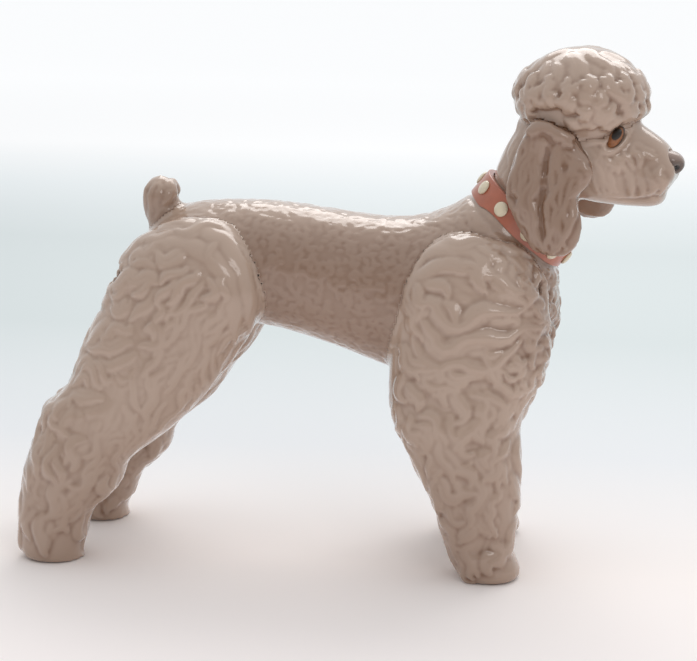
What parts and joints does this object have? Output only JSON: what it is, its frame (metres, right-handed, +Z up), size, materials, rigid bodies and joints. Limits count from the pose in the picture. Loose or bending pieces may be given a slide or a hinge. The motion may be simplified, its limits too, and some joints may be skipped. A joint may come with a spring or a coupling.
{
  "type": "ceramic dog figurine",
  "caption": "Glazed porcelain figurine of a standing poodle with clipped curly coat, topknot, long ears, docked tail and a studded collar; stands on its four feet.",
  "frame": {"origin": "on the floor under the middle of the figure's bounding box", "axes": "+X towards the nose, along the body; +Y to the dog's left; +Z up"},
  "size_m": [0.2624, 0.0827, 0.208],
  "materials": {
    "porcelain": "gloss",
    "collar_glaze": "gloss",
    "stud_glaze": "gloss",
    "eye_glaze": "gloss",
    "nose_glaze": "gloss"
  },
  "bodies": {
    "root": {"torso": "porcelain", "head": "porcelain", "topknot": "porcelain", "right_ear": "porcelain", "left_ear": "porcelain", "right_foreleg": "porcelain", "left_foreleg": "porcelain", "right_hind_leg": "porcelain", "left_hind_leg": "porcelain", "tail": "porcelain", "collar": "collar_glaze", "collar_studs": "stud_glaze", "right_eye": "eye_glaze", "left_eye": "eye_glaze", "nose": "nose_glaze"}
  },
  "joints": []
}
